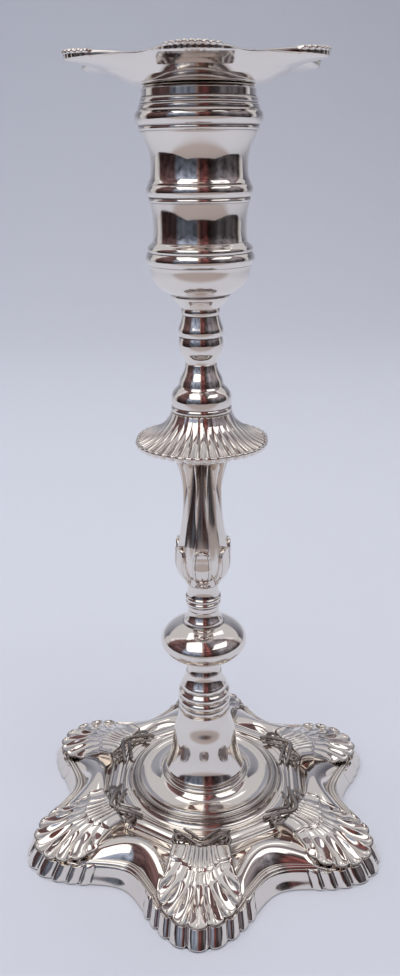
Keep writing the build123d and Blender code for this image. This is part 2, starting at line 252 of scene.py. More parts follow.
def ring_points(rows, phi):
    """Points of rings given as radius and height at each azimuth, measured from the first corner."""
    rows = np.array(rows)
    turn = np.radians(phi + FIRST_CORNER)
    return np.stack([rows[:, 0] * np.cos(turn), rows[:, 0] * np.sin(turn), rows[:, 1]], axis=-1)


def from_corner(phi):
    """Degrees from the nearest corner."""
    return np.abs((phi + SECTOR / 2) % SECTOR - SECTOR / 2)


def corner_wave(phi, tip, side):
    """The six-cornered outline; phi is measured from a corner."""
    return (tip + side) / 2 + (tip - side) / 2 * np.cos(np.radians(CORNERS * phi))


def lobe_wave(phi, edges):
    """1 in the middle of each lobe and 0 at its edges, for lobes either side of a corner."""
    phi = from_corner(phi)
    out = np.zeros_like(phi)
    bounds = [-edges[0]] + list(edges)
    for a, b in zip(bounds, bounds[1:]):
        w = (phi - (a + b) / 2) / ((b - a) / 2)
        out = np.where(np.abs(w) <= 1, np.sqrt(np.clip(1 - w * w, 0, 1)), out)
    return out


# ---------------------------------------------------------------- base

# Angles are in degrees from a corner and lengths in millimetres.
LOBE_EDGES = (3.0, 8.4, 12.3, 15.7, 18.8)  # between the petals of the rim
PETAL_SWELL = 1.9
RIM_DIP = 1.5
SHELL_COVERS = (12.0, 16.5)  # the rim dips under the shell out to here
BODY_HIDDEN = (7.0, 11.5)  # the panel sinks under the shell out to here
PANEL_OUTER = np.array([60.7, 45.9, 6.35])  # radius at a corner, radius between corners, height
PANEL_INNER = np.array([38.2, 35.9, 8.9])
PANEL_CROWN = 3.3
PANEL_HALF_WIDTH = 21.0
# The shell: nine tongues that fan out from FAN_CENTRE, counted from the middle one.
LIP = 0.32
FAN_CENTRE = 51.0
FAN_R = 12.5
HINGE_X = 36.6
TONGUES = (0, 1, 2, 3, 4)
TONGUE_EDGES = (0.0, 0.5, 1.5, 2.5, 3.5, 4.5)
HINGE_Y = (0.0, 0.65, 1.9, 3.3, 5.0, 9.4)
END_TURN = (0.0, 13.5, 38.0, 62.0, 86.0, 106.0)
FLARE = (2.7, 2.7, 2.5, 2.1, 1.7, 1.3)
TONGUE_BULGE = (2.1, 1.8, 1.6, 1.3, 0.5)
BOWL_DEPTH = (2.1, 2.0, 1.8, 1.5, 0.8)
BOWL_START = (0.78, 0.79, 0.8, 0.83, 0.85)
SHELL_CREST = (
    (0, 12.8), (0.1, 13.3), (0.22, 13.1), (0.36, 12.1), (0.5, 10.9),
    (0.64, 9.9), (0.76, 9.2), (0.87, 8.2), (1, 6.6),
)
SHELL_SIDE = np.array([(0, -0.16, -0.05), (0, -0.28, -0.3), (0, -0.1, -5.2)])  # steps down its edge


def body_grid():
    """The base without its shells: flange, reeded rim, swelling panels, scroll band and the hollow beneath."""
    columns = 1080
    phi = (np.arange(columns) * 360.0 / columns)[None, :]
    near = from_corner(phi)
    under_shell = 1 - smooth(near, *SHELL_COVERS)
    rows = []

    def ring(tip, side, z, lobes=0.0, lift=0.0):
        radius = corner_wave(phi, tip, side)
        radius = radius + lobes * (lobe_wave(phi, LOBE_EDGES) - 0.6) * (near < LOBE_EDGES[-1])
        height = np.full(columns, float(z)) + np.broadcast_to(lift, phi.shape)[0]
        rows.append(np.stack([radius[0], height]))

    stops = [(67.75, 51.4, 0.6), (67.1, 50.9, 1.7), (66.15, 50.2, 3.2), (65.15, 49.6, 4.7), (64.5, 49.2, 5.7)]
    foot = spline(stops, 26)
    ring(67.2, 51.3, 0.0, PETAL_SWELL)
    for tip, side, z in foot:
        ring(tip, side, z, PETAL_SWELL)
    rim = [
        (64.1, 49.05, 6.1, 0.9), (63.9, 48.85, 6.4, 0.7), (63.6, 48.6, 6.5, 0.4), (63.3, 48.4, 6.35, 0.2),
        (63.1, 48.2, 6.35, 0), (62.9, 48.0, 6.7, 0), (62.6, 47.75, 6.95, 0), (62.3, 47.45, 6.95, 0),
        (62.0, 47.2, 6.7, 0), (61.9, 47.05, 6.55, 0), (61.7, 46.9, 6.75, 0), (61.4, 46.65, 7.0, 0),
        (61.1, 46.35, 6.95, 0), (60.9, 46.1, 6.6, 0), (60.7, 45.9, 6.35, 0),
    ]
    for tip, side, z, lobes in even(np.array(rim), 0.16):
        ring(tip, side, z, lobes * PETAL_SWELL, -RIM_DIP * under_shell)
    crown = np.clip(1 - ((SECTOR / 2 - near) / PANEL_HALF_WIDTH) ** 2, 0, 1)
    hidden = 1 - smooth(near, *BODY_HIDDEN)
    for s in np.linspace(0, 1, 64)[1:]:
        tip, side, z = PANEL_OUTER + (PANEL_INNER - PANEL_OUTER) * s
        arch = np.clip(4 * s * (1 - s), 0, 1) ** 0.9
        lift = arch * (0.7 + PANEL_CROWN * crown - 1.6 * hidden)
        ring(tip, side, z, lift=lift - RIM_DIP * under_shell * (1 - smooth(s, 0.0, 0.35)))
    band = [
        (38.0, 35.8, 8.9), (37.8, 35.6, 9.6), (37.5, 35.3, 10.6), (37.2, 35.0, 11.0), (36.8, 34.65, 11.05),
        (36.5, 34.4, 10.85), (36.2, 34.1, 10.95), (35.3, 33.3, 11.45), (34.2, 32.4, 11.75), (33.4, 31.7, 11.75),
        (32.9, 31.25, 11.6), (32.6, 31.0, 11.75), (32.2, 30.7, 11.95), (31.6, 30.3, 11.85), (31.0, 29.9, 11.5),
        (29.6, 29.5, 11.25), (28.4, 28.4, 11.2),
    ]
    for tip, side, z in even(np.array(band), 0.2):
        ring(tip, side, z)
    under = [
        (28.0, 27.6, 9.2), (40.0, 34.0, 8.2), (50.0, 40.0, 6.4), (61.0, 46.0, 4.2), (65.0, 49.0, 1.0),
        (65.2, 49.2, 0.0), (67.4, 51.0, 0.0),
    ]
    for tip, side, z in even(np.array(under), 1.6):
        ring(tip, side, z)
    return ring_points(rows, phi[0])


def shell_grid():
    """One scallop shell: narrow ribbed tongues that flare late into deep bowls with a rolled lip."""
    per_tongue = 18
    q = np.linspace(-4.5, 4.5, 9 * per_tongue + 1)
    a = np.abs(q)
    sign = np.sign(q)
    tongue = np.minimum(np.floor(a + 0.5 - 1e-9), TONGUES[-1])
    v = (q - np.round(q)) * 2
    v[np.isclose(a % 1, 0.5)] = 1.0
    turn = np.radians(np.interp(a, TONGUE_EDGES, END_TURN))
    bulge = np.interp(tongue, TONGUES, TONGUE_BULGE)
    reach = FAN_R + bulge * np.sqrt(np.clip(1 - v * v, 0, 1))
    end_x, end_y = FAN_CENTRE + reach * np.cos(turn), reach * np.sin(turn)
    hinge_y, flare = np.interp(a, TONGUE_EDGES, HINGE_Y), np.interp(a, TONGUE_EDGES, FLARE)
    u = np.linspace(0, 1, 84)[:, None]
    x = HINGE_X + (end_x - HINGE_X) * (1 - (1 - u) ** np.interp(a, [0, 4.5], [1.0, 1.5]))
    y = hinge_y + (end_y - hinge_y) * u**flare
    crest = np.interp(u, np.linspace(0, 1, 120), crest_line(120))
    z = crest + np.interp(a, [0, 1.5, 3, 4.5], [0, 0.5, 1.5, 2.3]) * u**2
    deep = np.interp(tongue, TONGUES, BOWL_DEPTH)
    bowl_start = np.interp(tongue, TONGUES, BOWL_START)
    groove = np.interp(u, [0, 0.12, 0.5, 0.62, 1], [0.05, 0.32, 0.34, 0.42, 1])
    rising = smooth(u, 0.5, bowl_start) * (deep - groove) + groove
    past = np.clip((u - bowl_start) / (1 - bowl_start), 0, 1)
    depth = rising * np.sqrt(np.clip(1 - past**2.4, 0, 1))
    z = z - depth * (1 - np.abs(v) ** 2.0) + 0.25 * smooth(a, 4.25, 4.5)
    top = np.stack([x, sign * y, z], axis=-1)
    out = np.stack([np.cos(turn), sign * np.sin(turn), np.zeros_like(q)], axis=-1)
    roll = []
    for t in (0.5, 1.0, 1.5, 2.1, 2.7):
        roll.append(top[-1] + out * LIP * math.sin(t) - np.array([0, 0, LIP * (1 - math.cos(t))]))
    tuck = [roll[-1] - out * 0.5 - np.array([0, 0, 0.5]), roll[-1] - out * 1.2 - np.array([0, 0, 2.4])]
    return np.concatenate([top, np.array(roll), np.array(tuck)])


def crest_line(count):
    """Heights of the shell's ribs, evenly spaced from the hinge out to the lip."""
    line = spline(SHELL_CREST, 4 * count)
    return np.interp(np.linspace(0, 1, count), line[:, 0], line[:, 1])


def shell_solid():
    """The shell's skin closed round a flat underside sunk in the base."""
    skin = shell_grid()
    heel = skin[:1].copy()
    heel[..., 0] -= 0.5
    heel[..., 2] -= 4.0
    skin = np.concatenate([heel, skin])
    left = [skin[:, :1] + step for step in SHELL_SIDE[::-1]]
    right = [skin[:, -1:] + step * (1, -1, 1) for step in SHELL_SIDE]
    ring = np.concatenate(left + [skin] + right, axis=1)
    under = np.linspace(0, 1, 12)[None, 1:-1, None]
    a, b = ring[:, -1:], ring[:, :1]
    return with_ends(np.concatenate([ring, a + (b - a) * under], axis=1))


SCROLL_TURNS = 1.75


def corner_scrolls(shape):
    """The two volutes behind each shell's hinge and the nested mouldings that join them."""
    outer = spline([(29.6, -9.4, 12.4), (32.0, -7.2, 12.9), (35.0, -3.8, 13.2), (37.4, 0, 13.1),
                    (35.0, 3.8, 13.2), (32.0, 7.2, 12.9), (29.6, 9.4, 12.4)], 60)
    inner = spline([(28.8, -6.2, 12.2), (30.6, -4.6, 12.7), (32.8, -2.4, 12.9), (34.6, 0, 12.9),
                    (32.8, 2.4, 12.9), (30.6, 4.6, 12.7), (28.8, 6.2, 12.2)], 50)
    for path, size in ((outer, 0.8), (inner, 0.62)):
        t = np.linspace(-1, 1, len(path))
        turned_copies(shape, tube(path, size * (1 - 0.35 * t**4), 0.9), (False, True))
    for side in (-1, 1):
        turn = np.linspace(0, SCROLL_TURNS * 2 * np.pi, 84)
        fade = np.linspace(1, 0, len(turn))
        radius = 0.45 + 1.75 * fade
        path = np.stack(
            [
                34.0 + 0.95 * radius * np.cos(turn + 0.5),
                side * (7.6 + radius * np.sin(turn + 0.5)),
                12.4 + 1.5 * (1 - fade) - 0.12 * radius * np.cos(turn + 0.5),
            ],
            axis=1,
        )
        turned_copies(shape, tube(path, 0.25 + 0.38 * fade, 0.9), (False, True))


def make_base():
    shape = Shape().grid(body_grid())
    dome = (
        Section(ROD_BORE, 39.6)
        .line(8.0, 39.6).curve((9.6, 30.0), (10.8, 23.0), (13.4, 13.6)).curve((21.0, 12.0), (27.6, 9.4))
        .line(28.6, 10.4).line(28.9, 11.4)
        .arc(27.0, 13.3, -0.55).arc(25.7, 14.0, -0.55).arc(23.5, 14.5, -0.75)
        .curve((22.6, 14.05), (20.6, 13.85), (18.2, 14.3), (16.6, 15.2), (15.9, 15.9))
        .line(15.4, 15.7)
        .arc(14.5, 18.3, -0.85).line(14.1, 18.8)
        .curve((13.2, 21.0), (12.3, 24.0), (11.6, 28.0), (11.0, 33.0), (9.6, 38.0), (8.9, 42.0))
        .line(ROD_BORE, 42.0)
    )
    shape.grid(spun(dome, 0.22, 288))
    turned_copies(shape, shell_solid(), (False, True))
    corner_scrolls(shape)
    return shape.object("base_cast")


# ---------------------------------------------------------------- stem


def turned_object(name, section, **kind):
    return Shape().grid(spun(section, **kind)).object(name)


def make_foot_collar():
    return turned_object(
        "foot_collar_turned",
        Section(ROD_BORE, 42).line(8.5, 42).arc(8.6, 44.6, 0.35).beads(2, 8.5, 50.6, 0.7).line(8.0, 51.2)
        .arc(7.6, 53.4, 0.3).curve((6.6, 55.6), (6.2, 57.6)).line(ROD_BORE, 57.6),
    )


BULB_RADIUS, BULB_HALF_HEIGHT, BULB_MIDDLE = 14.86, 7.7, 70.1


def make_bulb():
    turns = np.radians(np.linspace(-67, 62, 15))
    oval = [(BULB_RADIUS * math.cos(a), BULB_MIDDLE + BULB_HALF_HEIGHT * math.sin(a)) for a in turns]
    return turned_object(
        "bulb_spun",
        Section(ROD_BORE, 57.6).line(6.0, 57.6).curve((5.4, 59.4), (5.3, 61.6)).line(5.5, 62.9).curve(*oval)
        .line(6.7, 77.4).line(6.5, 78.4).curve((5.6, 80), (5.2, 82)).line(ROD_BORE, 82),
        columns=192,
    )


def make_ring_collar():
    return turned_object(
        "ring_collar_turned",
        Section(ROD_BORE, 82).line(5.3, 82).line(5.4, 83.8).beads(2, 5.6, 87.4, 0.65)
        .curve((5.2, 89.6), (5.4, 91.8)).line(ROD_BORE, 91.8),
        columns=128,
    )


BALUSTER_FLUTES = 12
# The lappet leaves at the baluster's foot.
LEAF_FOOT = 92.6
LEAF_LENGTH = 14.2
LEAF_HALF_WIDTH = 3.15
LEAF_TAPER = ((0, 0.15, 0.4, 0.65, 0.8, 0.9, 0.96, 1), (0.5, 0.78, 0.97, 1, 0.93, 0.76, 0.52, 0.08))
LEAF_STEM = ((91.8, 94.2, 96.4, 99.8, 103.5, 107, 108), (5.5, 6.4, 7.6, 8.7, 8.8, 8.3, 8.1))


def baluster_flute(radius, height, azimuth):
    """Twelve hollow flutes between crisp ridges; their straight floors lean in toward the top."""
    half = 360 / BALUSTER_FLUTES / 2
    w = np.abs((azimuth + half) % (2 * half) - half) / half
    floor = 8.0 - 0.15 * (height - 107.0)
    shallow = 0.35 * smooth(height, 92.6, 95.0) * (1 - smooth(height, 103.0, 112.0))
    depth = np.maximum(radius - floor, shallow + 0.1) * smooth(height, 92.6, 95.0)
    depth = depth * (1 - smooth(height, 135.0, 137.0)) * (radius > 4)
    return radius - depth * (1 - w**4), height


def leaf_grid():
    """A lappet leaf on the +X side: a rounded tongue with a rolled rim and a tip that curls outward."""
    t = np.linspace(0, 1, 46)[:, None]
    s = np.linspace(-1, 1, 31)[None, :]
    half = LEAF_HALF_WIDTH * np.interp(t, *LEAF_TAPER)
    z = np.broadcast_to(LEAF_FOOT + LEAF_LENGTH * t, (t.size, s.size))
    stem = np.interp(z, *LEAF_STEM)
    curl = 0.75 * smooth(t, 0.78, 1.0) ** 1.4
    rise = 0.55 * smooth(t, 0.0, 0.2) + curl
    rim = 0.32 * smooth(np.abs(s), 0.72, 0.88) * (1 - smooth(np.abs(s), 0.92, 1.0))
    belly = 0.5 * (1 - s * s) * (1 - 1.4 * smooth(t, 0.3, 0.75))
    y = half * s
    outer = np.sqrt(np.maximum((stem + rise + belly + rim) ** 2 - y * y, 1))
    z = z - 0.5 * smooth(t, 0.9, 1.0) * (1 - s * s)
    top = np.stack([outer, y, z], axis=-1)
    back = np.sqrt(np.maximum((stem - 0.8 + 0.9 * curl) ** 2 - y * y, 1))
    inner = np.stack([back, y, z - 0.2 * curl], axis=-1)
    return with_ends(np.concatenate([top, inner[:, ::-1]], axis=1))


def make_baluster():
    stops = [
        (6.4, 94.2), (7.6, 96.4), (8.7, 99.8), (8.8, 103.5), (8.3, 107.0), (7.5, 111.5),
        (6.8, 116.5), (6.45, 122.0), (6.7, 128.0), (7.6, 132.5), (9.1, 137.0),
    ]
    section = (
        Section(ROD_BORE, 91.8).line(5.5, 91.8).curve(*stops).arc(8.9, 137.6, 0.2)
        .arc(8.2, 139.4, 0.5).line(7.0, 140.2).line(6.4, 149.0).line(ROD_BORE, 149.0)
    )
    shape = Shape().grid(spun(section, 0.25, 360, baluster_flute))
    turned_copies(shape, leaf_grid(), (False, True))
    return shape.object("baluster_cast")


SHADE_FLUTES = 42
SHADE_TOP = 142.3  # mm, between the shade's upper and under side at its rim


def shade_flute(radius, height, azimuth):
    """Hollow flutes that deepen toward the rim, with a scalloped edge in six gentle lobes."""
    step = 360 / SHADE_FLUTES
    w = ((azimuth + step / 2) % step - step / 2) / (step / 2)
    out = smooth(radius, 10.0, 20.5)
    top = height > SHADE_TOP
    depth = (0.14 + 0.62 * out) * (1 - w * w)
    six = 0.6 - ((azimuth + SECTOR / 2) % SECTOR / (SECTOR / 2) - 1) ** 2 * 1.2
    radius2 = radius + 0.5 * six * smooth(radius, 13, 21)
    lip = smooth(radius, 20.2, 20.9)
    height2 = height - depth * (1 - lip) * (radius > 9) * np.where(top, 1, 0.7)
    radius2 = radius2 + lip * 0.45 * (np.sqrt(np.clip(1 - w * w, 0, 1)) - 0.6)
    return radius2, height2


def make_shade():
    section = (
        Section(ROD_BORE, 149.0).line(9.4, 149.0).curve((12.0, 146.0), (16.0, 143.2), (19.8, 141.5))
        .line(20.5, 141.5).arc(21.1, 142.3, 0.25).arc(20.4, 143.2, 0.35)
        .curve((16.6, 144.8), (13.2, 147.0), (10.8, 149.6), (9.6, 152.2)).line(ROD_BORE, 152.2)
    )
    return Shape().grid(spun(section, 0.16, SHADE_FLUTES * 16, shade_flute)).object("shade_cast")


def make_bell_knop():
    return turned_object(
        "bell_knop_turned",
        Section(ROD_BORE, 152.2).line(9.4, 152.2).arc(9.3, 154, 0.35)
        .curve((9.5, 155.6), (9.2, 158), (7.5, 160)).line(7.1, 160.6)
        .curve((6.6, 162.6), (5.4, 165.2), (4.9, 167.4)).line(ROD_BORE, 167.4),
    )


def make_ring_knop():
    return turned_object(
        "ring_knop_turned",
        Section(ROD_BORE, 167.4).line(4.8, 167.4).curve((5.1, 168.8), (6.3, 170.8)).arc(6.6, 175.8, 0.55)
        .arc(6.9, 178.4, 0.25).curve((6.2, 180.4), (5.75, 182.4)).arc(5.8, 184.4, 0.2).line(ROD_BORE, 184.4),
        columns=128,
    )


def make_cup():
    return turned_object(
        "socket_cup_turned",
        Section(ROD_BORE, 184.4).line(5.8, 184.4).curve((7.2, 185.8), (8.5, 187.1)).arc(9.0, 188.6, 0.25)
        .curve((11.4, 189.9), (13.6, 191.9), (14.7, 194.4), (15.0, 196.2)).line(15.1, 196.6)
        .line(15.4, 197.4).arc(15.5, 201.1, 0.9).arc(15.3, 202.9, 0.4).curve((14.7, 203.4), (14.2, 204))
        .line(11.6, 204).line(11.6, 196).line(ROD_BORE, 196),
        columns=192,
    )


def make_barrel():
    return turned_object(
        "socket_barrel_turned",
        Section(10.6, 201.5).line(11.5, 201.5).line(11.5, 204).line(14.2, 204)
        .curve((13.9, 205.4), (13.85, 208), (13.95, 210.8), (14.35, 213.6), (14.6, 214.8))
        .line(14.7, 215.2).arc(14.85, 216.3, 0.32).line(14.85, 216.6).arc(15.0, 220.1, 0.8).line(15.1, 220.4)
        .curve(
            (14.6, 221.3), (14.3, 222.5), (14.13, 224.2), (14.15, 226.2),
            (14.5, 228.6), (15.3, 231), (16.7, 233.8),
        )
        .line(16.9, 234.4).arc(17.2, 235.5, 0.28).line(17.4, 235.9).arc(17.3, 240.0, 1.05)
        .arc(16.7, 241.4, 0.32).arc(16.35, 243.0, 0.36).line(16.3, 243.2).line(16.25, 245.2)
        .line(12.7, 245.2).line(12.7, 222.6).line(12.3, 221.6).line(12.3, 205).line(10.6, 204),
        columns=208,
    )


# ---------------------------------------------------------------- nozzle

PAN_EDGES = (1.32, 3.97, 6.62, 9.27, 11.92)  # degrees from a tip, between its beads
BEADS_ABOVE = 253  # mm: only the rim of the pan above this height rises and falls with the beads


def make_pan():
    """The drip pan: a thin six-cornered dish whose tips carry a row of beads."""
    columns = 864
    phi = (np.arange(columns) * 360.0 / columns)[None, :]
    near = from_corner(phi)
    beads = lobe_wave(phi, PAN_EDGES) * (near < PAN_EDGES[-1])
    rows = []

    def ring(tip, side, z, swell=0.0, drop=0.0):
        radius = corner_wave(phi, tip, side) + swell * beads
        dip = drop * (1 - np.cos(np.radians(CORNERS * phi))) / 2
        height = z - dip + 0.6 * swell * (beads - 1) * (z > BEADS_ABOVE)
        rows.append(np.stack([radius[0], np.broadcast_to(height, phi.shape)[0]]))

    outer = [
        (15.9, 15.9, 245.6, 0, 0), (16.6, 16.6, 246.0, 0, 0), (20.0, 19.6, 246.6, 0.02, 0),
        (23.5, 22.4, 248.0, 0.05, 0),
        (27.6, 25.2, 249.6, 0.05, 0), (32.6, 27.6, 250.4, 0.05, -0.6), (36.6, 29.0, 250.9, 0.1, -1.1),
        (38.2, 29.7, 251.2, 0.25, -1.2), (38.7, 29.9, 251.6, 0.3, -0.9), (38.75, 29.95, 252.6, 0.4, 0.0),
        (38.7, 29.95, 253.4, 0.85, 0.75), (38.4, 29.8, 253.8, 0.85, 0.9), (37.8, 29.3, 253.95, 0.6, 0.9),
        (37.2, 28.8, 253.7, 0.2, 0.9), (36.2, 28.4, 253.0, 0.05, 0.6), (32.0, 26.6, 252.0, 0.0, 0.2),
        (27.0, 24.8, 250.9, 0, 0), (19.6, 19.2, 248.0, 0, 0), (13.6, 13.5, 246.9, 0, 0),
        (12.3, 12.3, 246.9, 0, 0), (12.3, 12.3, 245.5, 0, 0), (15.8, 15.8, 245.5, 0, 0),
    ]
    for tip, side, z, swell, drop in even(np.array(outer), 0.3):
        ring(tip, side, z, swell, drop)
    return Shape().grid(ring_points(rows, phi[0])).object("nozzle_pan_cast")


def make_nozzle_collar():
    return turned_object(
        "nozzle_collar_turned",
        Section(11.3, 225.6).line(12.3, 225.6).line(12.3, 246.9).arc(11.3, 247.4, 0.25),
        columns=160,
    )


# ---------------------------------------------------------------- materials


SILVER_CLEAN = (0.85, 0.795, 0.74, 1)
SILVER_TARNISHED = (0.13, 0.105, 0.10, 1)
TARNISH_FROM, TARNISH_FULL = 0.12, 1.3  # values of the recess attribute
SILVER_ROUGHNESS = (0.045, 0.11)
TARNISH_ROUGHNESS = 0.25
DENT_DEPTH = 0.00012  # m
TARNISH_PATCHES, WIPE_MARKS, DENTS = (90.0, 4.0), (420.0, 3.0), (75.0, 1.5)  # noise scale and detail
STEEL_GREY = (0.5, 0.5, 0.5, 1)
STEEL_ROUGHNESS = (0.25, 0.45)


def node(tree, kind, sockets=None, **values):
    """A new node with these properties and these values on its input sockets."""
    made = tree.nodes.new(kind)
    for key, value in values.items():
        setattr(made, key, value)
    for key, value in (sockets or {}).items():
        made.inputs[key].default_value = value
    return made


def remap(tree, value, low, high, to_low=0.0, to_high=1.0, kind="LINEAR"):
    """The value mapped from low..high to to_low..to_high."""
    limits = {"From Min": low, "From Max": high, "To Min": to_low, "To Max": to_high}
    made = node(tree, "ShaderNodeMapRange", limits, interpolation_type=kind)
    tree.links.new(value, made.inputs["Value"])
    return made.outputs["Result"]


def noise(tree, place, scale, detail):
    made = node(tree, "ShaderNodeTexNoise", {"Scale": scale, "Detail": detail})
    tree.links.new(place, made.inputs["Vector"])
    return made.outputs["Fac"]


def new_material(name):
    """A new material, its node tree and its shader."""
    material = bpy.data.materials.new(name)
    material.use_nodes = True
    return material, material.node_tree, material.node_tree.nodes["Principled BSDF"]


def silver():
    """Polished silver plate with fine wipe marks, hand-made unevenness and tarnish in the grooves."""
    material, tree, bsdf = new_material("silver_plate")
    link = tree.links.new
    bsdf.inputs["Metallic"].default_value = 1.0
    place = node(tree, "ShaderNodeTexCoord").outputs["Object"]
    recess = node(tree, "ShaderNodeAttribute", attribute_name="recess").outputs["Fac"]
    dirt = node(tree, "ShaderNodeMath", operation="MULTIPLY")
    link(remap(tree, recess, TARNISH_FROM, TARNISH_FULL, kind="SMOOTHSTEP"), dirt.inputs[0])
    link(remap(tree, noise(tree, place, *TARNISH_PATCHES), 0.3, 0.7, 0.5, 1.0), dirt.inputs[1])
    colour = node(tree, "ShaderNodeMix", data_type="RGBA")
    colour.inputs["A"].default_value = SILVER_CLEAN
    colour.inputs["B"].default_value = SILVER_TARNISHED
    link(dirt.outputs["Value"], colour.inputs["Factor"])
    link(colour.outputs["Result"], bsdf.inputs["Base Color"])
    rougher = node(tree, "ShaderNodeMath", {1: TARNISH_ROUGHNESS}, operation="MULTIPLY_ADD")
    link(dirt.outputs["Value"], rougher.inputs[0])
    link(remap(tree, noise(tree, place, *WIPE_MARKS), 0.0, 1.0, *SILVER_ROUGHNESS), rougher.inputs[2])
    link(rougher.outputs["Value"], bsdf.inputs["Roughness"])
    bump = node(tree, "ShaderNodeBump", {"Strength": 0.35, "Distance": DENT_DEPTH})
    link(noise(tree, place, *DENTS), bump.inputs["Height"])
    link(bump.outputs["Normal"], bsdf.inputs["Normal"])
    return material


def steel():
    """Dull steel for the hidden rod, its washer and its nut."""
    material, tree, bsdf = new_material("rod_steel_dull")
    bsdf.inputs["Metallic"].default_value = 1.0
    bsdf.inputs["Base Color"].default_value = STEEL_GREY
    grain = node(tree, "ShaderNodeTexNoise", {"Scale": 600.0})
    rough = remap(tree, grain.outputs["Fac"], 0.0, 1.0, *STEEL_ROUGHNESS)
    tree.links.new(rough, bsdf.inputs["Roughness"])
    return material


SILVER = silver()
STEEL = steel()

PIECES = (
    (make_base, "stick", "base"),
    (make_foot_collar, "stick", "foot_collar"),
    (make_bulb, "stick", "bulb_knop"),
    (make_ring_collar, "stick", "ring_collar"),
    (make_baluster, "stick", "baluster"),
    (make_shade, "stick", "fluted_shade"),
    (make_bell_knop, "stick", "bell_knop"),
    (make_ring_knop, "stick", "ring_knop"),
    (make_cup, "stick", "socket_cup"),
    (make_barrel, "stick", "socket_barrel"),
    (make_pan, "nozzle", "nozzle_pan"),
    (make_nozzle_collar, "nozzle", "nozzle_collar"),
)
for make, body, cad_node in PIECES:
    piece = make()
    piece.data.materials.append(SILVER)
    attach(piece, body)
    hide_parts(cad_node)

for name in ("base_washer", "base_nut", "tie_rod", "socket_nut"):
    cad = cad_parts[name]
    cad.data.materials.clear()
    cad.data.materials.append(SILVER if name == "socket_nut" else STEEL)

# ---------------------------------------------------------------- studio


def plain(name, colour, roughness=0.7, glow=0.0):
    material, _, bsdf = new_material(name)
    bsdf.inputs["Base Color"].default_value = (*colour, 1)
    bsdf.inputs["Roughness"].default_value = roughness
    bsdf.inputs["Specular IOR Level"].default_value = 0.2
    if glow:
        bsdf.inputs["Emission Color"].default_value = (1, 1, 1, 1)
        bsdf.inputs["Emission Strength"].default_value = glow
    return material


def staged(name, points, faces, material, smooth_faces=False):
    mesh = bpy.data.meshes.new(name)
    mesh.from_pydata([tuple(p) for p in points], [], faces)
    mesh.update()
    if smooth_faces:
        mesh.polygons.foreach_set("use_smooth", np.ones(len(faces), bool))
    made = bpy.data.objects.new(name, mesh)
    bpy.context.scene.collection.objects.link(made)
    made.rotation_euler[2] = CAMERA_TURN
    made.data.materials.append(material)
    return made


# The front colour is painted shade on the paper, which the silver shows in its reflections of the table.
PAPER_PAINTED_SHADE = (0.34, 0.305, 0.30, 1)
PAPER_REAR = (0.50, 0.522, 0.585, 1)
PAINTED_SHADE_FULL_Y, PAINTED_SHADE_END_Y = -0.30, -0.14  # m, where the painted shade on the table is full and where it fades out, in front of the object and outside the camera's view


def paper_with_painted_shade():
    """Pale paper with painted shade: darker and warmer on the part of the table in front of the object."""
    material = plain("paper_with_painted_shade", PAPER_REAR[:3])
    tree = material.node_tree
    split = node(tree, "ShaderNodeSeparateXYZ")
    tree.links.new(node(tree, "ShaderNodeTexCoord").outputs["Object"], split.inputs["Vector"])
    near = remap(tree, split.outputs["Y"], PAINTED_SHADE_FULL_Y, PAINTED_SHADE_END_Y, kind="SMOOTHSTEP")
    # Painted shade: the paper in front of the object is mixed toward a darker, warmer colour.
    painted_shade_tone = node(tree, "ShaderNodeMix", data_type="RGBA")
    painted_shade_tone.inputs["A"].default_value = PAPER_PAINTED_SHADE
    painted_shade_tone.inputs["B"].default_value = PAPER_REAR
    tree.links.new(near, painted_shade_tone.inputs["Factor"])
    tree.links.new(painted_shade_tone.outputs["Result"], tree.nodes["Principled BSDF"].inputs["Base Color"])
    return material


SWEEP_Y, SWEEP_R, SWEEP_TOP = 0.9, 0.7, 1.15


def paper_sweep():
    """The table and the sweep that curves up behind it, wider at the back, as rows of two points."""
    table = [(-0.87, 0.0), (-0.55, 0.0), (-0.3, 0.0), (0.2, 0.0), (0.6, 0.0), (SWEEP_Y, 0.0)]
    turns = np.linspace(0.12, math.pi / 2, 14)
    curve = [(SWEEP_Y + SWEEP_R * math.sin(a), SWEEP_R - SWEEP_R * math.cos(a)) for a in turns]
    points, faces = [], []
    for y, z in table + curve + [(SWEEP_Y + SWEEP_R, SWEEP_TOP)]:
        half = np.interp(y, [-0.87, -0.3, 0.2, 0.9, 1.6], [0.5, 0.55, 0.75, 1.4, 2.1])
        points += [(-half, y, z), (half * 1.25, y, z)]
    for i in range(len(points) // 2 - 1):
        faces.append((2 * i, 2 * i + 1, 2 * i + 3, 2 * i + 2))
    staged("paper_sweep", points, faces, paper_with_painted_shade(), True)


paper_sweep()

LAMP = plain("lamp", (0, 0, 0), 1.0, 1.5)
HIGH = 1.6
SOFT_SIZE = 1.6
SOFT_WATTS = 36.0


def lamp(name, corners):
    """A bright panel overhead; corners are right and front of the object, as shares of its height."""
    points = [(x * HIGH, -y * HIGH, HIGH) for x, y in corners]
    made = staged(name, points, [tuple(range(len(corners)))], LAMP)
    made.visible_camera = False


lamp("lamp_left_front", [(-1.30, 1.25), (-0.12, 1.5), (-0.05, 0.09), (-0.55, 0.09)])
lamp("lamp_left_back", [(-0.50, -0.09), (-0.05, -0.09), (-0.03, -0.47), (-0.33, -0.47)])
lamp("lamp_right_front", [(0.45, 0.88), (1.25, 0.42), (0.80, -0.08), (0.386, 0.305)])
lamp("lamp_right_back", [(0.185, -0.204), (0.528, -0.476), (0.438, -0.70), (0.165, -0.31)])

soft = bpy.data.objects.new("soft_light", bpy.data.lights.new("soft_light", "AREA"))
bpy.context.scene.collection.objects.link(soft)
soft.data.shape = "SQUARE"
soft.data.size = SOFT_SIZE
soft.data.energy = SOFT_WATTS
soft.location = (-0.25, 0.1, HIGH)
soft.visible_glossy = False
soft.visible_camera = False

PALE = (0.60, 0.60, 0.63)
SEEN_BEHIND = (0.42, 0.43, 0.47, 1)
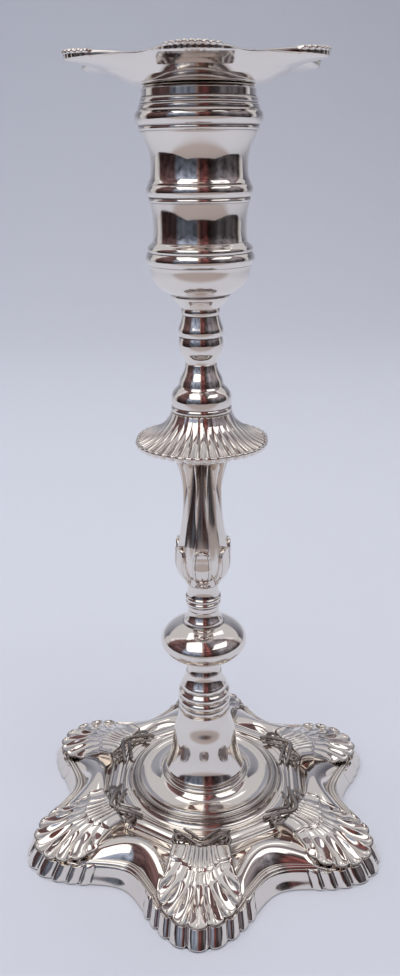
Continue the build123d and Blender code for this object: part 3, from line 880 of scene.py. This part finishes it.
# The room's colours by azimuth in degrees; 0 is behind the camera and 180 is beyond the object.
ROOM = (
    (-180, PALE), (-116, PALE), (-104, (0.06, 0.035, 0.035)), (-60, (0.05, 0.032, 0.035)),
    (-54, (0.14, 0.16, 0.21)), (-8, (0.13, 0.15, 0.20)), (-4, (0.16, 0.10, 0.09)), (2, (0.04, 0.02, 0.022)),
    (14, (0.10, 0.035, 0.035)), (22, (0.03, 0.02, 0.02)), (36, (0.04, 0.035, 0.04)), (42, (0.10, 0.095, 0.11)),
    (92, (0.10, 0.09, 0.10)), (104, (0.05, 0.035, 0.035)), (116, PALE), (180, PALE),
)

ROOM_RISE = (-0.15, 0.6, 0.45, 2.6)  # brightness from the lower direction's Z to the upper one's
ROOM_CLUTTER = (0.3, 0.7, 0.35, 1.8)  # brightness from the noise


def room():
    """Dark coloured columns behind the camera, brighter higher up, and a pale half beyond the object."""
    world = bpy.data.worlds.new("room")
    world.use_nodes = True
    tree = world.node_tree
    link = tree.links.new
    turned = node(tree, "ShaderNodeVectorRotate", {"Angle": -CAMERA_TURN}, rotation_type="Z_AXIS")
    link(node(tree, "ShaderNodeTexCoord").outputs["Generated"], turned.inputs["Vector"])
    split = node(tree, "ShaderNodeSeparateXYZ")
    link(turned.outputs["Vector"], split.inputs["Vector"])
    flip = node(tree, "ShaderNodeMath", {1: -1.0}, operation="MULTIPLY")
    link(split.outputs["Y"], flip.inputs[0])
    around = node(tree, "ShaderNodeMath", operation="ARCTAN2")
    link(split.outputs["X"], around.inputs[0])
    link(flip.outputs["Value"], around.inputs[1])
    walls = node(tree, "ShaderNodeValToRGB")
    ramp = walls.color_ramp
    while len(ramp.elements) < len(ROOM):
        ramp.elements.new(0.5)
    # Every stop is moved before any is coloured, because a moved stop can change its place in the ramp.
    for element, (azimuth, _) in zip(ramp.elements, ROOM):
        element.position = (azimuth + 180) / 360
    for element, (_, colour) in zip(ramp.elements, ROOM):
        element.color = (*colour, 1.0 if colour == PALE else 0.0)
    link(remap(tree, around.outputs["Value"], -math.pi, math.pi), walls.inputs["Fac"])
    bright = node(tree, "ShaderNodeMath", operation="MULTIPLY")
    link(remap(tree, split.outputs["Z"], *ROOM_RISE, "SMOOTHSTEP"), bright.inputs[0])
    clutter = noise(tree, turned.outputs["Vector"], 5.0, 5.0)
    link(remap(tree, clutter, *ROOM_CLUTTER), bright.inputs[1])
    lit = node(tree, "ShaderNodeVectorMath", operation="SCALE")
    link(walls.outputs["Color"], lit.inputs["Vector"])
    link(bright.outputs["Value"], lit.inputs["Scale"])
    backdrop = node(tree, "ShaderNodeMix", data_type="RGBA")
    backdrop.inputs["B"].default_value = (*PALE, 1)
    link(walls.outputs["Alpha"], backdrop.inputs["Factor"])
    link(lit.outputs["Vector"], backdrop.inputs["A"])
    seen = node(tree, "ShaderNodeMix", data_type="RGBA")
    seen.inputs["B"].default_value = SEEN_BEHIND
    link(node(tree, "ShaderNodeLightPath").outputs["Is Camera Ray"], seen.inputs["Factor"])
    link(backdrop.outputs["Result"], seen.inputs["A"])
    link(seen.outputs["Result"], tree.nodes["Background"].inputs["Color"])
    return world


bpy.context.scene.world = room()

# ---------------------------------------------------------------- camera

CAMERA_X, CAMERA_Y, CAMERA_Z = 0.01097, -0.2741, 0.2278
FOCAL_LENGTH = 32.98
pitch, roll = math.radians(20.4), math.radians(0.59)
ahead = Vector(
    (-math.sin(CAMERA_TURN) * math.cos(pitch), math.cos(CAMERA_TURN) * math.cos(pitch), -math.sin(pitch))
)
right = Vector((math.cos(CAMERA_TURN), math.sin(CAMERA_TURN), 0))
up = right.cross(ahead)
across = right * math.cos(roll) - up * math.sin(roll)
upward = right * math.sin(roll) + up * math.cos(roll)
camera = bpy.data.objects.new("camera", bpy.data.cameras.new("camera"))
bpy.context.scene.collection.objects.link(camera)
camera.data.lens = FOCAL_LENGTH
camera.data.clip_start = 0.01
camera.matrix_world = Matrix(
    (
        (across.x, upward.x, -ahead.x, CAMERA_X),
        (across.y, upward.y, -ahead.y, CAMERA_Y),
        (across.z, upward.z, -ahead.z, CAMERA_Z),
        (0, 0, 0, 1),
    )
)
bpy.context.scene.camera = camera
bpy.context.scene.view_settings.view_transform = "Standard"
